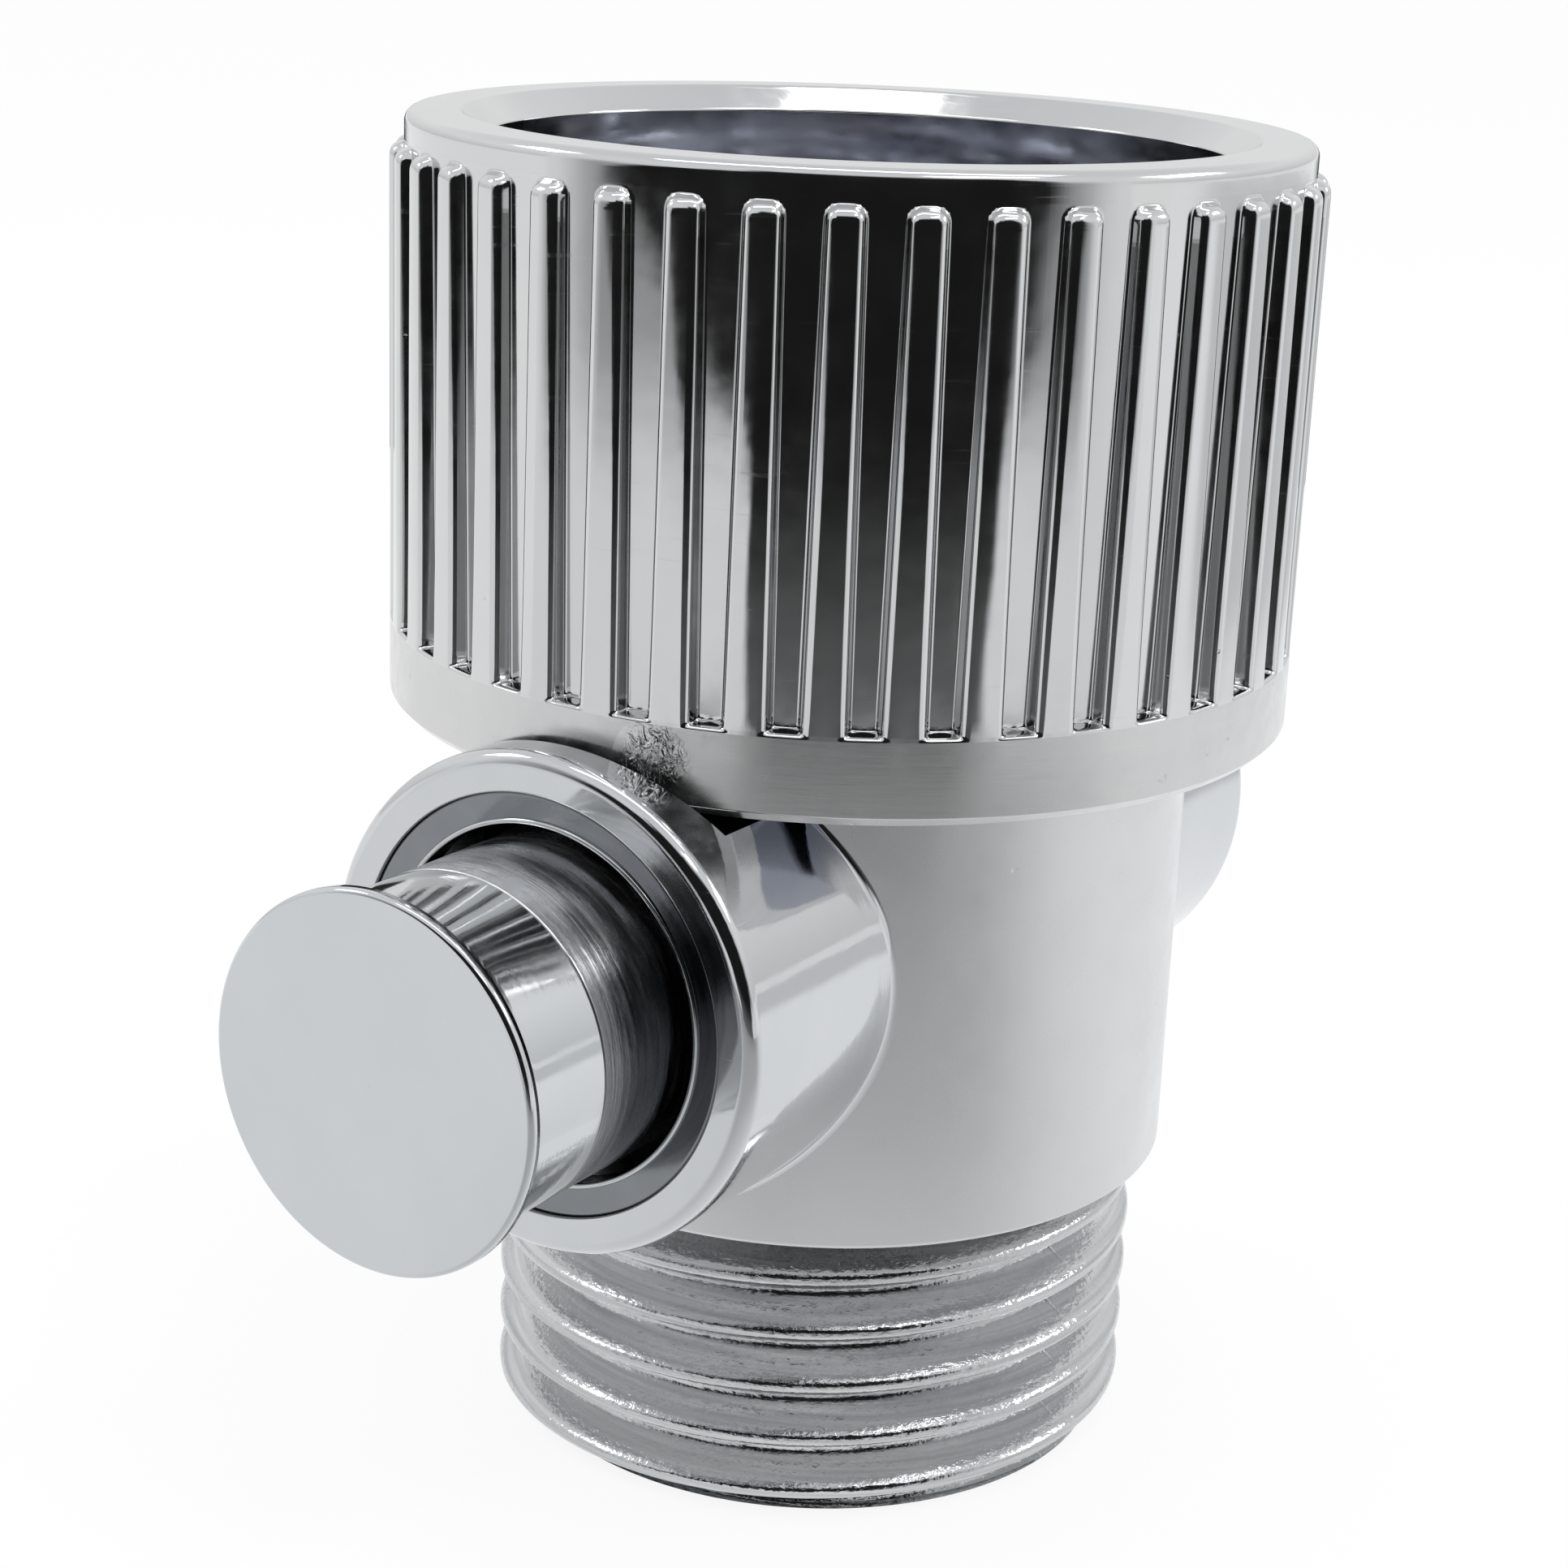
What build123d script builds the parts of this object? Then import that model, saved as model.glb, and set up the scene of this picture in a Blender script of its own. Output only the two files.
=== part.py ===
"""Push-button shut-off valve for a shower head, in millimetres.

The origin is the centre of the outlet end, +Z points up to the inlet nut, and the
spool lies along X with its extended front button at -X.
"""
import math
import os

from build123d import *

# Half-inch parallel pipe thread, as on every shower arm and hose
thread_major_r = 20.955 / 2
thread_pitch = 25.4 / 14
thread_depth_share = 0.640327
thread_depth = thread_depth_share * thread_pitch
thread_minor_r = thread_major_r - thread_depth
thread_crest_share = 1 / 6
thread_crest = thread_crest_share * thread_pitch
thread_half_angle = 27.5
thread_base = thread_crest + 2 * thread_depth * math.tan(math.radians(thread_half_angle))

# Clearances between pieces
running_gap = 0.05
swivel_gap = 0.1
screw_gap = 0.05
seal_gap = 0.02
clear_gap = 0.35

# Outlet end with the male thread
outlet_ridges = 5
outlet_first_crest = 0.6
outlet_end_r = 9.7
outlet_relief = 1.63
outlet_bore_r = 6.2
outlet_bore_rise = 0.75
last_crest_z = outlet_first_crest + (outlet_ridges - 1) * thread_pitch
shoulder_z = last_crest_z + thread_crest / 2 + outlet_relief
outlet_bore_top = shoulder_z + outlet_bore_rise

# Barrel, and the boss that crosses it and stands a little proud of the nut
barrel_r = 11.25
barrel_edge = 0.15
nut_r = 14.15
boss_r = 7.5
boss_stand = 1.6
boss_reach = nut_r + boss_stand
boss_edge = 0.4
boss_rise = 8.2
boss_z = shoulder_z + boss_rise
bore_r = 5.0
port_r = 2.0
port_x = 3.5

# Swivel nut
nut_rise = 6.0
nut_bottom = boss_z + nut_rise
nut_height = 17.9
nut_top = nut_bottom + nut_height
nut_edge = 0.28
band_height = 2.6
rib_count = 40
rib_height = 0.55
rib_stop = 0.85
rib_top = nut_top - rib_stop
rib_base_share = 0.53
rib_crest_share = 0.4
rib_draft_share = 0.13
rib_round = 0.24
rib_phase = 3.15
rim_round = 0.8
mouth_r = 11.32
mouth_drop = 0.75
mouth_flare = 0.75
mouth_depth = 2.4
inlet_ridges = 4
lip_height = 3.4
nut_core_r = nut_r - rib_height
nut_relief = 0.4
nut_relief_r = thread_major_r + nut_relief

# Neck of the body, and the stack that holds the nut on it
barrel_top = nut_bottom - clear_gap
lip_top = nut_bottom + lip_height
slip_height = 0.4
neck_top = lip_top + swivel_gap + slip_height
flange_inset = 0.3
flange_r = thread_minor_r - flange_inset
flange_height = 1.6
flange_top = neck_top + flange_height
flange_lap = 1.2
neck_r = flange_r - flange_lap
neck_wall = 2.2
stem_r = neck_r - neck_wall
stem_length = 3.65
socket_r = stem_r + screw_gap
socket_room = 0.15
socket_floor = neck_top - stem_length - socket_room
stem_ring_depth = 0.85
stem_ring_r = stem_r - stem_ring_depth
key_wall = 1.0
key_r = stem_ring_r - key_wall
stem_ring_width = 1.2
stem_ring_rise = 1.35
stem_ring_z = socket_floor + stem_ring_rise
washer_height = 2.2
washer_bore_r = 5.2
screen_r = 6.6
screen_height = 0.3
mesh_pitch = 0.95
mesh_hole = 0.6
mesh_rows = 11

# Bushes pressed into the boss mouths
bush_r = 6.3
bush_bore_r = 5.35
bush_depth = 1.1
bush_recess = 0.1
bush_dish = 0.2
bush_seat = boss_reach - bush_depth
bush_face = boss_reach - bush_recess

# Buttons and spool, with the front button out
spool_gap = 0.07
spool_r = bore_r - spool_gap
button_stand = 7.15
button_reach = boss_reach + button_stand
button_length = 3.9
lip_r = 5.43
lip_rim = 0.35
lip_neck = 1.05
joint_edge = 0.12
stop_gap = 0.05
travel = button_reach - lip_rim - bush_face - stop_gap
stud_r = 2.0
stud_length = 2.6
stud_room = 0.2
stud_hole_depth = stud_length + stud_room
waist_r = 2.6
land = 0.8
ring_floor_r = 3.7
ring_width = 1.7
ring_stretch = 1.05
groove_width = 2.0
seal_inset = 5.55
end_seal = boss_reach - seal_inset
spool_half = button_reach - button_length - travel / 2
spool_middle = -travel / 2
groove_reach = groove_width / 2 + land


def turned(*outline):
    """A solid turned about Z from corners given as (radius, height)."""
    corners = [(r, 0, z) for r, z in outline]
    return revolve(make_face(Polyline(*corners, close=True)), axis=Axis.Z)


def turned_across(*outline):
    """A solid turned about the spool's axis from corners given as (x, radius)."""
    corners = [(x, 0, boss_z + r) for x, r in outline]
    axis = Axis((0, 0, boss_z), (1, 0, 0))
    return revolve(make_face(Polyline(*corners, close=True)), axis=axis)


def ridges(crest_r, root_r, first_crest, count):
    """Corners of a thread form: rings of true pitch, depth and flank angle."""
    corners = []
    for index in range(count):
        middle = first_crest + index * thread_pitch
        corners.append((root_r, middle - thread_base / 2))
        corners.append((crest_r, middle - thread_crest / 2))
        corners.append((crest_r, middle + thread_crest / 2))
        corners.append((root_r, middle + thread_base / 2))
    return corners


def squeezed_ring(inner_r, outer_r, width):
    """A seal ring as it sits in its groove: flat on both walls and round at its sides."""
    height = outer_r - inner_r
    side = max(width, ring_stretch * height)
    section = Plane.XZ * Pos((inner_r + outer_r) / 2, 0) * SlotOverall(side, height, 90)
    return revolve(section, axis=Axis.Z)


def laid_across(solid, x):
    """Turns a solid made about Z onto the spool's axis, at a place along it."""
    return Pos(x, 0, boss_z) * Rot(0, 90, 0) * solid


def tube(outer_r, inner_r, bottom, top):
    """A plain upright ring."""
    return turned((inner_r, bottom), (outer_r, bottom), (outer_r, top), (inner_r, top))


def make_body():
    """The casting: threaded outlet, barrel, cross boss and neck, with all its bores."""
    thread = ridges(thread_major_r, thread_minor_r, outlet_first_crest, outlet_ridges)
    shaft = turned(
        (0, 0),
        (outlet_end_r, 0),
        *thread[1:],
        (thread_minor_r, shoulder_z),
        (barrel_r - barrel_edge, shoulder_z),
        (barrel_r, shoulder_z + barrel_edge),
        (barrel_r, barrel_top - barrel_edge),
        (barrel_r - barrel_edge, barrel_top),
        (neck_r, barrel_top),
        (neck_r, neck_top),
        (0, neck_top),
    )
    boss = laid_across(Cylinder(boss_r, 2 * boss_reach), 0)
    boss = fillet(boss.edges().filter_by(GeomType.CIRCLE), boss_edge)
    boss -= tube(nut_r + clear_gap, 0, barrel_top, boss_z + boss_r + clear_gap)
    body = shaft + boss
    body -= laid_across(Cylinder(bore_r, 2 * boss_reach), 0)
    for side in (-1, 1):
        mouth = side * (boss_reach - bush_depth / 2)
        body -= laid_across(Cylinder(bush_r, bush_depth), mouth)
    body -= tube(outlet_bore_r, 0, 0, outlet_bore_top)
    body -= tube(socket_r, 0, socket_floor, neck_top)
    body -= Pos(-port_x, 0, 0) * tube(port_r, 0, outlet_bore_top, boss_z)
    body -= Pos(port_x, 0, 0) * tube(port_r, 0, boss_z, socket_floor)
    return body


def rib_section(height, widening):
    """A rib's outline at one height, with both its widths grown by a share of the rib pitch."""
    pitch_width = 2 * math.pi * nut_core_r / rib_count
    foot = nut_core_r - rib_height
    base = (rib_base_share + widening) * pitch_width / 2
    crest = (rib_crest_share + widening) * pitch_width / 2
    outline = Polyline((foot, -base), (nut_core_r, -base), (nut_r, -crest),
                       (nut_r, crest), (nut_core_r, base), (foot, base), close=True)
    return Pos(0, 0, height) * make_face(outline)


def make_rib():
    """One grip rib, standing on the nut's core at angle 0, drafted and with its top end rounded."""
    shelf = nut_bottom + band_height
    rib = loft([rib_section(shelf, rib_draft_share), rib_section(rib_top, 0)], ruled=True)
    front = rib.faces().sort_by(Axis.X)[-1]
    rounded = front.edges().sort_by(Axis.Z)[1:]
    return fillet(rounded, rib_round)


def make_swivel_nut():
    """The nut: smooth band, ribbed grip, rolled rim, female thread and the lip inside."""
    shelf = nut_bottom + band_height
    mouth_edge = nut_top - mouth_drop
    last_crest = mouth_edge - mouth_depth - thread_base / 2
    first_crest = last_crest - (inlet_ridges - 1) * thread_pitch
    rim_r = nut_core_r - rim_round
    bend = rim_round * math.sqrt(0.5)
    inner = [
        (neck_r + swivel_gap, nut_bottom),
        (neck_r + swivel_gap, lip_top),
        (nut_relief_r, lip_top),
        (nut_relief_r, first_crest - thread_base / 2),
        *ridges(thread_minor_r, thread_major_r, first_crest, inlet_ridges),
        (mouth_r, mouth_edge - mouth_depth),
        (mouth_r, mouth_edge),
        (mouth_r + mouth_flare, nut_top),
        (rim_r, nut_top),
    ]
    outer = [
        (nut_core_r, nut_top - rim_round),
        (nut_core_r, shelf),
        (nut_r, shelf),
        (nut_r, nut_bottom + nut_edge),
        (nut_r - nut_edge, nut_bottom),
        inner[0],
    ]
    rim = ThreePointArc(
        (rim_r, 0, nut_top),
        (rim_r + bend, 0, nut_top - rim_round + bend),
        (nut_core_r, 0, nut_top - rim_round),
    )
    inner_wire = Polyline(*[(r, 0, z) for r, z in inner])
    outer_wire = Polyline(*[(r, 0, z) for r, z in outer])
    nut = revolve(make_face(inner_wire + rim + outer_wire), axis=Axis.Z)
    rib = make_rib()
    step = 360 / rib_count
    return nut + [Rot(0, 0, rib_phase + index * step) * rib for index in range(rib_count)]


def make_tailpiece():
    """The screwed-in tailpiece whose flange keeps the nut on, with its hexagon key hole."""
    stem_bottom = neck_top - stem_length
    groove = groove_width * stem_ring_width / ring_width / 2
    screen_seat = flange_top - screen_height
    tail = turned(
        (0, stem_bottom),
        (stem_r, stem_bottom),
        (stem_r, stem_ring_z - groove),
        (stem_ring_r, stem_ring_z - groove),
        (stem_ring_r, stem_ring_z + groove),
        (stem_r, stem_ring_z + groove),
        (stem_r, neck_top),
        (flange_r, neck_top),
        (flange_r, flange_top),
        (screen_r + screw_gap, flange_top),
        (screen_r + screw_gap, screen_seat),
        (0, screen_seat),
    )
    key = RegularPolygon(key_r, 6)
    return tail - Pos(0, 0, stem_bottom) * extrude(key, stem_length + flange_height)


def make_screen():
    """The filter: a thin disc of square mesh that lies in the tailpiece's recess."""
    screen = tube(screen_r, 0, flange_top - screen_height, flange_top)
    reach = washer_bore_r - mesh_hole / 2
    middle = flange_top - screen_height / 2
    holes = []
    for place in GridLocations(mesh_pitch, mesh_pitch, mesh_rows, mesh_rows):
        if place.position.length < reach:
            holes.append(Pos(0, 0, middle) * place * Box(mesh_hole, mesh_hole, screen_height))
    return screen - holes


def make_bush():
    """The front bush, a pressed ring with a slightly dished face."""
    return turned_across(
        (-bush_seat, bush_bore_r),
        (-bush_seat, bush_r),
        (-bush_face, bush_r),
        (-bush_face + bush_dish, bush_bore_r),
    )


def make_button():
    """The front button: a flat face, a thin lip, a short neck and a blind screw hole."""
    inner_end = -button_reach + button_length
    flare_x = -button_reach + lip_neck
    rim_x = -button_reach + lip_rim
    flare = Plane((0, 0, boss_z), x_dir=(1, 0, 0), z_dir=(0, -1, 0))
    profile = Polyline(
        (flare_x, spool_r),
        (inner_end - joint_edge, spool_r),
        (inner_end, spool_r - joint_edge),
        (inner_end, stud_r + screw_gap),
        (inner_end - stud_hole_depth, stud_r + screw_gap),
        (inner_end - stud_hole_depth, 0),
        (-button_reach, 0),
        (-button_reach, lip_r - joint_edge),
        (-button_reach + joint_edge, lip_r),
        (rim_x, lip_r),
    )
    bend = Bezier((rim_x, lip_r), (rim_x, spool_r), (flare_x, spool_r))
    section = flare * make_face(profile + bend)
    return revolve(section, axis=Axis((0, 0, boss_z), (1, 0, 0)))


def make_spool():
    """The spool: three grooved lands, two waists, and a stud at each end for a button."""
    grooves = (-end_seal, spool_middle, end_seal)
    corners = [(-spool_half - stud_length, 0), (-spool_half - stud_length, stud_r)]
    corners += [(-spool_half, stud_r), (-spool_half, spool_r - joint_edge)]
    corners += [(-spool_half + joint_edge, spool_r)]
    for index, middle in enumerate(grooves):
        if index > 0:
            corners += [(middle - groove_reach, waist_r), (middle - groove_reach, spool_r)]
        corners += [(middle - groove_width / 2, spool_r), (middle - groove_width / 2, ring_floor_r)]
        corners += [(middle + groove_width / 2, ring_floor_r), (middle + groove_width / 2, spool_r)]
        if index < len(grooves) - 1:
            corners += [(middle + groove_reach, spool_r), (middle + groove_reach, waist_r)]
    corners += [(spool_half - joint_edge, spool_r), (spool_half, spool_r - joint_edge)]
    corners += [(spool_half, stud_r), (spool_half + stud_length, stud_r), (spool_half + stud_length, 0)]
    return Pos(spool_middle, 0, 0) * turned_across(*corners)


def make_spool_ring(place):
    """A seal ring on the spool, at a place along it."""
    ring = squeezed_ring(ring_floor_r, bore_r - seal_gap, ring_width)
    return laid_across(ring, spool_middle + place)


front_bush = make_bush()
front_button = make_button()
pieces = {
    "body": make_body(),
    "swivel_nut": make_swivel_nut(),
    "inlet_tailpiece": make_tailpiece(),
    "tailpiece_o_ring": Pos(0, 0, stem_ring_z) * squeezed_ring(stem_ring_r, socket_r, stem_ring_width),
    "nut_slip_washer": tube(flange_r, neck_r + running_gap, neck_top - slip_height, neck_top),
    "inlet_washer": tube(flange_r, washer_bore_r, flange_top, flange_top + washer_height),
    "filter_screen": make_screen(),
    "front_bush": front_bush,
    "rear_bush": mirror(front_bush, about=Plane.YZ),
    "spool": make_spool(),
    "front_button": front_button,
    "rear_button": Pos(-travel, 0, 0) * mirror(front_button, about=Plane.YZ),
    "front_o_ring": make_spool_ring(-end_seal),
    "middle_o_ring": make_spool_ring(spool_middle),
    "rear_o_ring": make_spool_ring(end_seal),
}

os.makedirs("parts", exist_ok=True)
for name, solid in pieces.items():
    export_step(solid, f"parts/{name}.step")
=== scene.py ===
"""Looks of the push-button shower shut-off valve: fine meshes, materials, light and camera.

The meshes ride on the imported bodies. Lengths are millimetres in the part's own frame and are
scaled to metres where something is made. Angles of the stage are degrees round the valve's axis.
"""
import math

import bpy
import numpy as np
from mathutils import Matrix, Vector


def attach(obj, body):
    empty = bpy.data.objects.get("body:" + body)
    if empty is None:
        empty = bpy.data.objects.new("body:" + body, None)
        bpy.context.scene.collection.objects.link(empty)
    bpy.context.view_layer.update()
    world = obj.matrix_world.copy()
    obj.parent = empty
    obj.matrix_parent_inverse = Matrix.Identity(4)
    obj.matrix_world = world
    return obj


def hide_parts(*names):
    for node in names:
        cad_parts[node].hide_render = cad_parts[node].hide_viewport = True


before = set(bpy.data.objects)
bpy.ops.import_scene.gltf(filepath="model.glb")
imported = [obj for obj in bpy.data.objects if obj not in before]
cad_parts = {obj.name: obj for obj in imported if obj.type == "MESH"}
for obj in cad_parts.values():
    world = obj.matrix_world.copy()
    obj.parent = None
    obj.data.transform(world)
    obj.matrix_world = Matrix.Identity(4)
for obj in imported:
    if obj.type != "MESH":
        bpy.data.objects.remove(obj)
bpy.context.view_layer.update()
MM = 0.001
FULL_TURN = 2 * math.pi
CAMERA_POLAR = -148.64

# Half-inch parallel pipe thread
PITCH = 25.4 / 14
MAJOR_R = 20.955 / 2
THREAD_DEPTH = 0.640327 * PITCH
MINOR_R = MAJOR_R - THREAD_DEPTH
FLANK_ANGLE = math.radians(27.5)

# Casting, as in the solids
CLEAR_GAP = 0.35
OUTLET_RIDGES = 5
FIRST_CREST = 0.6
HALF_CREST = PITCH / 12
THREAD_RELIEF = 1.63
SHOULDER_Z = FIRST_CREST + (OUTLET_RIDGES - 1) * PITCH + HALF_CREST + THREAD_RELIEF
OUTLET_END_R = 9.7
OUTLET_BORE_R = 6.2
OUTLET_BORE_TOP = SHOULDER_Z + 0.75
PORT_R = 2.0
PORT_X = -3.5
BARREL_R = 11.25
BOSS_R = 7.5
BOSS_Z = SHOULDER_Z + 8.2

# Nut, as in the solids; its rim stands a little proud of the grooves' floor
NUT_R = 14.15
NUT_CLEAR_R = NUT_R + CLEAR_GAP
NUT_BOTTOM = BOSS_Z + 6.0
NUT_TOP = NUT_BOTTOM + 17.9
NUT_EDGE = 0.28
NUT_FOOT_R = NUT_R - 1.2
RIBS = 40
RIB_PHASE = 3.15
RIB_HEIGHT = 0.55
RIB_TOP = NUT_TOP - 0.85
SHELF_Z = NUT_BOTTOM + 2.6
BAND_TOP = SHELF_Z - 0.5
NUT_CORE_R = NUT_R - RIB_HEIGHT
RIM_R = NUT_CORE_R + 0.12
RIM_BOTTOM = RIB_TOP + 0.02
MOUTH_R = 11.32
MOUTH_FLARE = 0.75
MOUTH_EDGE = NUT_TOP - MOUTH_FLARE
MOUTH_FLOOR = MOUTH_EDGE - 2.4
INLET_FOOT = 31.0
NUT_RELIEF_R = MAJOR_R + 0.4
LIP_TOP = NUT_BOTTOM + 3.4
NUT_COLUMNS = 192

# Neck of the casting and the stack on it
SWIVEL_GAP = 0.1
SLIP_HEIGHT = 0.4
BARREL_TOP = NUT_BOTTOM - CLEAR_GAP
NECK_TOP = LIP_TOP + SWIVEL_GAP + SLIP_HEIGHT
FLANGE_R = MINOR_R - 0.3
FLANGE_TOP = NECK_TOP + 1.6
NECK_R = FLANGE_R - 1.2
SOCKET_R = NECK_R - 2.15
SOCKET_FLOOR = NECK_TOP - 3.8
WASHER_BORE_R = 5.2
WASHER_TOP = FLANGE_TOP + 2.2
SCREEN_R = 6.6
SCREEN_HEIGHT = 0.3

# Bushes, buttons and spool
BOSS_REACH = NUT_R + 1.6
BUSH_R = 6.3
BUSH_BORE_R = 5.35
BUSH_SEAT = BOSS_REACH - 1.1
BUSH_FACE = BOSS_REACH - 0.1
BUSH_DISH = 0.2
BUTTON_REACH = BOSS_REACH + 7.15
BUTTON_BASE = BUTTON_REACH - 3.9
LIP_R = 5.43
LIP_RIM = 0.35
LIP_NECK = 1.05
STOP_GAP = 0.05
TRAVEL = BUTTON_REACH - LIP_RIM - BUSH_FACE - STOP_GAP
SPOOL_R = 4.93
SPOOL_MIDDLE = -TRAVEL / 2
SPOOL_HALF = BUTTON_BASE - TRAVEL / 2
STUD_R = 2.0
STUD_LENGTH = 2.6
WAIST_R = 2.6
LAND = 0.8
GROOVE_HALF = 1.0
RING_FLOOR_R = 3.7
END_SEAL = BOSS_REACH - 5.55


# Mesh helpers

def smooth(value, low, high):
    """0 up to low, 1 from high, and an even slope between."""
    share = np.clip((value - low) / (high - low), 0, 1)
    return share * share * (3 - 2 * share)


def beside(radius, y):
    """How far out a circle lies at a distance y to the side."""
    return np.sqrt(radius ** 2 - y ** 2)


def polar(r, angle, z):
    """Points from radius, angle and height, which are spread to one shape."""
    return np.stack(np.broadcast_arrays(r * np.cos(angle), r * np.sin(angle), z), -1)


def rounded(*corners, steps=5, closed=False):
    """A profile whose corners (a, b, radius) become arcs, with a point held just off each arc's ends."""
    most, hold = 0.45, 1.15
    points = [np.array(corner[:2], float) for corner in corners]
    count = len(points)
    out = []
    for i, here in enumerate(points):
        if not closed and i in (0, count - 1):
            out.append(here)
            continue
        u, v = points[i - 1] - here, points[(i + 1) % count] - here
        reach = most * min(np.linalg.norm(u), np.linalg.norm(v))
        u, v = u / np.linalg.norm(u), v / np.linalg.norm(v)
        half = math.acos(max(-1, min(1, float(u @ v)))) / 2
        length = min(corners[i][2] / math.tan(half), reach)
        radius = length * math.tan(half)
        middle = here + (u + v) / np.linalg.norm(u + v) * radius / math.sin(half)
        start, end = here + u * length - middle, here + v * length - middle
        a, b = math.atan2(start[1], start[0]), math.atan2(end[1], end[0])
        sweep = (b - a + math.pi) % FULL_TURN - math.pi
        out.append(here + u * length * hold)
        for k in range(steps + 1):
            turn = a + sweep * k / steps
            out.append(middle + radius * np.array([math.cos(turn), math.sin(turn)]))
        out.append(here + v * length * hold)
    if closed:
        out.append(out[0])
    return np.array(out)


def lathe(profile, columns=160):
    """A grid turned about Z from a profile of (radius, height); going up, the outside is outwards."""
    angle = np.linspace(0, FULL_TURN, columns, endpoint=False)
    return polar(profile[:, :1], angle, profile[:, 1:])


def across(grid):
    """Lays a grid turned about Z onto the spool's axis, with its height along +X."""
    return np.stack([grid[..., 2], grid[..., 1], BOSS_Z - grid[..., 0]], -1)


def half_turn(grid):
    """The same grid on the opposite side of the valve."""
    return grid * np.array([-1, -1, 1])


def slid(grid, x):
    """The same grid further along X."""
    return grid + np.array([x, 0, 0])


def quads(rows, columns, wraps, base=0):
    """Corner numbers of the faces of a grid of points."""
    number = base + np.arange(rows * columns).reshape(rows, columns)
    right = np.roll(number, -1, 1)
    if not wraps:
        number, right = number[:, :-1], right[:, :-1]
    return np.stack([number[:-1], right[:-1], right[1:], number[1:]], -1).reshape(-1, 4)


def placed(name, data):
    """An object with this data, in the scene."""
    made = bpy.data.objects.new(name, data)
    bpy.context.scene.collection.objects.link(made)
    return made


def piece(name, body, nodes, materials, patches):
    """One object from grids: each patch is (grid, material index, wraps round or not)."""
    verts, faces, slots = [], [], []
    base = 0
    for grid, index, wraps in patches:
        rows, columns = grid.shape[:2]
        verts.append(grid.reshape(-1, 3))
        faces.append(quads(rows, columns, wraps, base))
        slots.append(np.full(len(faces[-1]), index))
        base += rows * columns
    mesh = bpy.data.meshes.new(name)
    mesh.from_pydata((np.concatenate(verts) * MM).tolist(), [], np.concatenate(faces).tolist())
    for material in materials:
        mesh.materials.append(material)
    mesh.polygons.foreach_set("material_index", np.concatenate(slots).astype(np.int32))
    mesh.shade_smooth()
    mesh.update()
    made = placed(name, mesh)
    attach(made, body)
    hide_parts(*nodes)
    return made


# Materials

class Surface:
    """A metal, rubber or plastic with its procedural detail, in coordinates of one unit a millimetre."""

    def __init__(self, name, metallic=1.0):
        self.material = bpy.data.materials.new(name)
        self.material.use_nodes = True
        self.tree = self.material.node_tree
        self.shader = self.tree.nodes["Principled BSDF"]
        self.shader.inputs["Metallic"].default_value = metallic
        self.place = self.tree.nodes.new("ShaderNodeTexCoord").outputs["Object"]

    def link(self, source, target):
        self.tree.links.new(source, target)

    def noise(self, stretch=(1, 1, 1), scale=1.0, detail=4.0, rough=0.55, warp=0.0):
        mapping = self.tree.nodes.new("ShaderNodeMapping")
        mapping.inputs["Scale"].default_value = [s / MM for s in stretch]
        self.link(self.place, mapping.inputs["Vector"])
        node = self.tree.nodes.new("ShaderNodeTexNoise")
        node.inputs["Scale"].default_value = scale
        node.inputs["Detail"].default_value = detail
        node.inputs["Roughness"].default_value = rough
        node.inputs["Distortion"].default_value = warp
        self.link(mapping.outputs["Vector"], node.inputs["Vector"])
        return node.outputs["Fac"]

    def spread(self, value, low, high, to_low, to_high):
        """Maps the range from low to high onto another one."""
        node = self.tree.nodes.new("ShaderNodeMapRange")
        ends = {"From Min": low, "From Max": high, "To Min": to_low, "To Max": to_high}
        for key, number in ends.items():
            node.inputs[key].default_value = number
        self.link(value, node.inputs["Value"])
        return node.outputs["Result"]

    def between(self, noise, to_low, to_high):
        """Maps the range that most of a noise lies in."""
        return self.spread(noise, 0.3, 0.7, to_low, to_high)

    def math(self, kind, a, b):
        node = self.tree.nodes.new("ShaderNodeMath")
        node.operation = kind
        for socket, value in zip(node.inputs, (a, b)):
            if isinstance(value, (int, float)):
                socket.default_value = value
            else:
                self.link(value, socket)
        return node.outputs[0]

    def along(self, axis):
        """The place along an axis of the part, in millimetres."""
        node = self.tree.nodes.new("ShaderNodeSeparateXYZ")
        self.link(self.place, node.inputs[0])
        return self.math("MULTIPLY", node.outputs[axis], 1 / MM)

    def spot(self, centre, inner, outer):
        """1 within the inner distance of a place in millimetres, 0 beyond the outer."""
        node = self.tree.nodes.new("ShaderNodeVectorMath")
        node.operation = "DISTANCE"
        self.link(self.place, node.inputs[0])
        node.inputs[1].default_value = [c * MM for c in centre]
        return self.spread(node.outputs["Value"], inner * MM, outer * MM, 1.0, 0.0)

    def color(self, value, low, high):
        node = self.tree.nodes.new("ShaderNodeMix")
        node.data_type = "RGBA"
        self.link(value, node.inputs["Factor"])
        colors = [s for s in node.inputs if s.type == "RGBA"]
        colors[0].default_value = (*low, 1)
        colors[1].default_value = (*high, 1)
        self.link(next(s for s in node.outputs if s.type == "RGBA"), self.shader.inputs["Base Color"])

    def roughness(self, value):
        self.link(value, self.shader.inputs["Roughness"])

    def bump(self, value, depth):
        """Adds relief of a depth in millimetres on top of what is there."""
        node = self.tree.nodes.new("ShaderNodeBump")
        node.inputs["Strength"].default_value = 1.0
        node.inputs["Distance"].default_value = depth * MM
        self.link(value, node.inputs["Height"])
        normal = self.shader.inputs["Normal"]
        if normal.is_linked:
            self.link(normal.links[0].from_socket, node.inputs["Normal"])
        self.link(node.outputs["Normal"], normal)


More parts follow.
